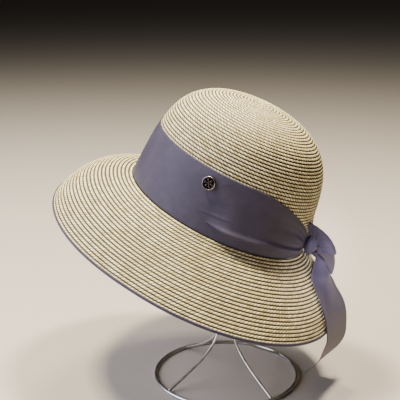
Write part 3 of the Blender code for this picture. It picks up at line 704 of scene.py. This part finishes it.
def build_pin(finish):
    """A turned badge: dished face with a rolled lip and a plain relief of petals round a boss."""
    radius = PIN_DIAMETER / 2
    inner = radius - PIN_LIP
    face = PIN_THICK - PIN_DISH
    turn = turns(96)[None, :]
    steps = np.linspace(0.03, 0.97, 26)[:, None] * inner
    share = steps / inner
    petals = smooth(np.cos(PETALS * turn), -0.2, 0.6)
    petals = petals * smooth(share, 0.26, 0.40) * (1 - smooth(share, 0.66, 0.80))
    boss = 1 - smooth(share, 0.12, 0.22)
    collar = np.exp(-(((share - 0.88) / 0.035) ** 2))
    relief = face + PETAL_RISE * petals + BOSS_RISE * boss + PIN_RING_RISE * collar
    lip = np.radians(np.linspace(180, 0, 9))[:, None]
    lip_r = inner + PIN_LIP / 2 + np.cos(lip) * PIN_LIP / 2
    lip_z = face + np.sin(lip) * (PIN_DISH + 0.0002)
    edge_r = np.array([radius, radius, radius - 0.0003])[:, None]
    edge_z = np.array([face - 0.0004, 0.0003, 0.0])[:, None]
    r = np.concatenate([steps, lip_r, edge_r]) + 0 * turn
    z = np.concatenate([relief + 0 * turn, lip_z + 0 * turn, edge_z + 0 * turn])
    at = np.radians([PIN_TURN - 0.02, PIN_TURN, PIN_TURN + 0.02])
    rise = np.array([PIN_HEIGHT - 1e-4, PIN_HEIGHT, PIN_HEIGHT + 1e-4])
    around = crown_point(at[2], rise[1], 0.0) - crown_point(at[0], rise[1], 0.0)
    upward = crown_point(at[1], rise[2], 0.0) - crown_point(at[1], rise[0], 0.0)
    normal = unit(np.cross(around, upward))
    around = unit(around)
    upward = np.cross(normal, around)
    middle = crown_point(at[1], rise[1], 0.0) + normal * (2 * GAP + BAND_ROOM)
    radial = np.cos(turn)[..., None] * around + np.sin(turn)[..., None] * upward
    grid = middle + radial * r[..., None] + normal * z[..., None]
    poles = (on_stand(middle + normal * (face + 0.0004)), on_stand(middle))
    round_it = np.linspace(0.0, 1.0, turn.shape[1] + 1)[None, :]
    uv = np.stack(np.broadcast_arrays(round_it, r[:, :1] / radius), -1)
    mesh = grid_mesh("round_pin", on_stand(grid), uv, ring=True, poles=poles)
    mesh.flip_normals()
    return add_piece("round_pin", mesh, finish, "pin")


def knot_frame():
    turn = np.radians(KNOT_TURN)
    out = unit(crown_point(turn, KNOT_HEIGHT, 1.0) - crown_point(turn, KNOT_HEIGHT, 0.0))
    up = np.array((0.0, 0.0, 1.0))
    middle = crown_point(turn, KNOT_HEIGHT, 2 * GAP + BAND_ROOM + KNOT_DEPTH / 2)
    return middle, out, np.cross(up, out), up


def knot_reach(direction):
    _, out, along, up = knot_frame()
    halves = ((out, KNOT_DEPTH / 2), (along, KNOT_BREADTH / 2), (up, KNOT_LENGTH / 2))
    return 1 / math.sqrt(sum((float(direction @ axis) / half) ** 2 for axis, half in halves))


def build_knot(finish):
    """A barrel of ribbon wound over the band: radius cos(b)^0.75 with ridges that run over it,
    1 + KNOT_RIDGE sin(9.5 b + sin(a) / 2), and one groove beside its middle."""
    middle, out, along, up = knot_frame()
    middle = middle + up * KNOT_RISE
    half = KNOT_BREADTH / 2 * 0.98
    b = np.radians(np.linspace(-84, 84, 49))[:, None]
    a = turns(72)[None, :]
    ridge = KNOT_RIDGE * np.sin(9.5 * b + 0.5 * np.sin(a))
    groove = KNOT_GROOVE * np.exp(-(((b - 0.45) / 0.10) ** 2))
    r = np.cos(b) ** 0.75 * (1 + ridge - groove)
    grid = (
        middle + (r * np.cos(a) * KNOT_DEPTH / 2)[..., None] * out
        + (r * np.sin(a) * (KNOT_LENGTH / 2 + KNOT_RISE))[..., None] * up
        + (np.sin(b) * half + 0 * a)[..., None] * along
    )
    u = np.linspace(0, KNOT_CLOTH[0], 73)[None, :]
    v = (b / math.pi + 0.5) * KNOT_CLOTH[1]
    uv = np.stack(np.broadcast_arrays(u, v), -1)
    ends = tuple(on_stand(middle + along * side) for side in (-half, half))
    mesh = grid_mesh("ribbon_knot", on_stand(grid), uv, ring=True, poles=ends)
    return add_piece("ribbon_knot", mesh, finish, "bow_knot", inward=True)


def build_loop(name, finish):
    """Two fans that meet in a round fold, u from 0 at the knot along the front layer, over the fold at
    0.5 and back to 1 at the knot, s from 0 to 1 across: start(s) + (fold(s) - start(s)) sin(pi u)
    + lift (puff + pleat + crease) - spill.

    The puff parts the layers. The pleats gather them at the knot, cos(12 pi s) on the front layer and
    deeper, 1 + cos(12 pi s) to one side, on the back layer. The spill carries the inner edge outwards.
    """
    middle = knot_frame()[0]
    shape = LOOPS[name]
    inner, bulge, outer = (middle + np.array(c) * LOOP_REACH for c in shape["corners"])
    leaves = unit(shape["leaves"])
    across = unit(outer - inner)
    lift = unit(np.cross(across, (inner + outer) / 4 + bulge / 2 - middle))
    root = middle + leaves * (knot_reach(leaves) + 2 * GAP)
    root_line = unit(across - leaves * (across @ leaves))
    u = np.linspace(0.0, 1.0, LOOP_GRID[0])[:, None, None]
    s = np.linspace(0.0, 1.0, LOOP_GRID[1])[None, :, None]
    reach = np.sin(math.pi * u)
    swell = LOOP_PUFF * np.where(u < 0.5, shape["front"], shape["back"])
    puff = np.cos(math.pi * u) * (LOOP_LAYERS / 2 * (1 - reach) + swell * (0.45 + 1.1 * s) * reach)
    edges = smooth(s, 0.0, 0.12) * smooth(1 - s, 0.0, 0.12)
    wave = np.cos(2 * math.pi * LOOP_PLEATS * s)
    pleat = np.where(u < 0.5, FRONT_PLEAT * wave, -BACK_PLEAT * (1 + wave))
    pleat = pleat * np.clip(1 - reach, 0, 1) ** 1.2 * edges
    crease = np.cos(2 * math.pi * 1.2 * s + 0.6) * LOOP_CREASE * reach * (1 - reach)
    start = root + root_line * (s - 0.5) * LOOP_ROOT
    bulge = 0.7 * bulge + 0.15 * (inner + outer)
    fold = (1 - s) ** 2 * inner + 2 * s * (1 - s) * bulge + s**2 * outer
    spill = across * (LOOP_SPILL * (1 - s) ** 2 * reach * (1 - reach))
    grid = start + (fold - start) * reach + lift * (puff + pleat + crease) - spill
    length = float(np.linalg.norm(np.diff(grid, axis=0), axis=2).sum(0).mean())
    wide = np.stack(np.broadcast_arrays(u[..., 0] * length, s[..., 0] * RIBBON_WIDTH), -1)
    mesh = grid_mesh(name, on_stand(grid), wide)
    shown = name.replace("bow_loop", "ribbon_loop")
    piece = add_piece(shown, mesh, finish, name, wall=(RIBBON_THICK, 0.0))
    return piece


def build_tail(finish):
    """The ribbon from the knot over the brim: a near edge from the table, and straight lines across it.

    They ripple as 1 - open where the ribbon is still gathered, and its upper half is folded along, up
    evenly to TAIL_FOLD_AT of the width and down to the far edge as half a cosine wave.
    """
    rows, columns = TAIL_GRID
    turn, reach, lift, spread, back, up = curve_through(TAIL_ROWS, rows).T
    spread = np.clip(spread, 0.03, 1.0)
    foot, _, normal = brim_frame(np.radians(turn), reach)
    edge = foot + normal * (lift * RIBBON_WIDTH)[:, None]
    direction = np.stack([back, np.sqrt(1 - back**2 - up**2), up], -1)
    s = np.linspace(0.0, 1.0, columns)[None, :, None]
    grid = edge[:, None] + direction[:, None] * spread[:, None, None] * RIBBON_WIDTH * s
    ahead = unit(np.gradient(edge, axis=0))
    face = unit(np.cross(ahead, direction))
    row = np.arange(rows)[:, None, None]
    gathered = np.clip(1 - spread, 0, 1)[:, None, None] * smooth(row, 0, 14) * smooth(row, 90, 60)
    edges = smooth(s, 0.0, 0.15) * smooth(1 - s, 0.0, 0.15)
    ripple = np.cos(2 * math.pi * 2.5 * s + 0.8) * TAIL_RIPPLE * gathered * edges
    falls = np.cos(np.clip((s - TAIL_FOLD_AT) / (1 - TAIL_FOLD_AT), 0, 1) * math.pi) * 0.5 + 0.5
    long_fold = np.where(s < TAIL_FOLD_AT, s / TAIL_FOLD_AT, falls)
    long_fold = long_fold * TAIL_FOLD * smooth(row, 4, 20) * smooth(row, 84, 40)
    grid = grid + face[:, None] * (ripple + long_fold)
    run = np.concatenate([[0], np.cumsum(np.linalg.norm(np.diff(grid[:, 0], axis=0), axis=1))])
    uv = np.stack(np.broadcast_arrays(run[:, None], s[..., 0] * RIBBON_WIDTH), -1)
    mesh = grid_mesh("ribbon_tail", on_stand(grid), uv)
    tail = add_piece("ribbon_tail", mesh, finish, "bow_tail", wall=(RIBBON_THICK, 0.0))
    return tail


# ---------------------------------------------------------------- wire stand
def bezier(first, out, back, last, count):
    t = np.linspace(0.0, 1.0, count)[:, None]
    first, out, back, last = (np.array(p) for p in (first, out, back, last))
    return (1 - t) ** 3 * first + 3 * (1 - t) ** 2 * t * out + 3 * (1 - t) * t**2 * back + t**3 * last


def hoop_line(lower):
    """One hoop's middle line in its plane, (radius, height), from foot over the top to foot."""
    foot = (RING_RADIUS, RING_WIRE / 2 - RING_FLAT)
    fall, rise = foot[0] - NECK_RADIUS, NECK_HEIGHT - foot[1]
    ball = STAND_HEIGHT - lower - HOOP_WIRE / 2 - BALL_RADIUS
    climb, arc = ball - NECK_HEIGHT, BALL_RADIUS * ARC_HANDLE
    neck = (NECK_RADIUS, NECK_HEIGHT)
    side, top = (BALL_RADIUS, ball), (0.0, ball + BALL_RADIUS)
    leg_out = (foot[0] - fall * LEG_INWARD, foot[1] + rise * LEG_RISE)
    leg_back = (neck[0], neck[1] - rise * LEG_STEEP)
    flare_out = (neck[0], neck[1] + climb * FLARE_RISE)
    flare_back = (side[0], side[1] - climb * FLARE_SWELL)
    half = np.concatenate([
        bezier(foot, leg_out, leg_back, neck, 33)[:-1],
        bezier(neck, flare_out, flare_back, side, 49)[:-1],
        bezier(side, (side[0], side[1] + arc), (arc, top[1]), top, 33),
    ])
    return np.concatenate([half, half[-2::-1] * (-1, 1)])


def tube(name, line, plane_normal, radius, closed=False, sides=14):
    """A round wire along a flat line: circles in the plane of its normal and the line's own normal."""
    line = np.asarray(line, float)
    if closed:
        ahead = np.roll(line, -1, 0) - np.roll(line, 1, 0)
    else:
        ahead = np.gradient(line, axis=0)
    normal = unit(np.cross(plane_normal, ahead))
    at = turns(sides)
    cos, sin = np.cos(at)[None, :, None], np.sin(at)[None, :, None]
    grid = line[:, None] + (cos * normal[:, None] + sin * np.asarray(plane_normal)) * radius
    grid[..., 2] = np.maximum(grid[..., 2], 0.0)
    poles = (None, None) if closed else (line[0], line[-1])
    return grid_mesh(name, grid, None, ring=True, loop=closed, poles=poles)


def build_stand(finish):
    meshes = []
    at = turns(160)
    for radius, wire, height in (
        (RING_RADIUS, RING_WIRE, RING_WIRE / 2 - RING_FLAT),
        (NECK_RADIUS + COLLAR_OUT, COLLAR_WIRE, NECK_HEIGHT),
    ):
        circle = np.stack([radius * np.cos(at), radius * np.sin(at), height + 0 * at], -1) + STAND_MIDDLE
        meshes.append(tube("ring", circle, (0.0, 0.0, 1.0), wire / 2, closed=True))
    for step, turn in enumerate(HOOP_TURNS):
        flat = hoop_line(HOOP_CROSSING * step)
        way = np.array((math.cos(math.radians(turn)), math.sin(math.radians(turn)), 0.0))
        line = flat[:, :1] * way + flat[:, 1:] * np.array((0.0, 0.0, 1.0)) + STAND_MIDDLE
        plane = np.cross(way, (0.0, 0.0, 1.0))
        meshes.append(tube("hoop", line, plane, HOOP_WIRE / 2))
    mesh = join_meshes("wire_stand_smooth", meshes)
    return add_piece("wire_stand_smooth", mesh, finish, "wire_stand")


# ---------------------------------------------------------------- stage
def aim_at(thing, place, target):
    thing.location = place
    thing.rotation_euler = Vector(target - np.array(thing.location)).to_track_quat("-Z", "Y").to_euler()


def build_stage():
    mesh = bpy.data.meshes.new("floor")
    corners = [(x * FLOOR_HALF, y * FLOOR_HALF, 0) for x, y in ((-1, -1), (1, -1), (1, 1), (-1, 1))]
    mesh.from_pydata(corners, [], [(0, 1, 2, 3)])
    mesh.materials.append(Paint("pale floor", Roughness=0.8, Base_Color=FLOOR_COLOUR).material)
    put_in_scene("floor", mesh)

    world = bpy.data.worlds.new("studio")
    world.use_nodes = True
    sky = world.node_tree.nodes["Background"].inputs
    sky[0].default_value, sky[1].default_value = WORLD_COLOUR, WORLD_STRENGTH
    bpy.context.scene.world = world

    for name, place, size, watts, colour in AREA_LIGHTS:
        light = bpy.data.lights.new(name, "AREA")
        light.size, light.energy, light.color = size, watts, colour
        aim_at(put_in_scene(name, light), place, LIT_POINT)
    spot = bpy.data.lights.new("bow spot", "SPOT")
    spot.energy, spot.color, spot.shadow_soft_size = SPOT_WATTS, SPOT_COLOUR, SPOT_SOFT
    spot.spot_size, spot.spot_blend = math.radians(SPOT_CONE), SPOT_BLEND
    target = on_stand(knot_frame()[0]) + SPOT_FROM_KNOT
    aim_at(put_in_scene("bow spot", spot), target + SPOT_AWAY * unit(SPOT_SIDE), target)

    camera = bpy.data.cameras.new("camera")
    camera.lens, camera.sensor_width, camera.sensor_fit = CAMERA_LENS, 36.0, "HORIZONTAL"
    seat = put_in_scene("camera", camera)
    seat.location = np.array(CAMERA_PLACE) + STAND_MIDDLE
    seat.rotation_euler = (math.radians(90.0 - CAMERA_PITCH), 0.0, 0.0)
    bpy.context.scene.camera = seat


def main():
    straw, ribbon = straw_finish(), ribbon_finish()
    build_crown(straw)
    build_brim(straw)
    build_binding(ribbon, thread_finish())
    build_band(ribbon)
    build_pin(pin_finish())
    build_knot(ribbon)
    for name in LOOPS:
        build_loop(name, ribbon)
    build_tail(ribbon)
    build_stand(wire_finish())
    build_stage()


main()
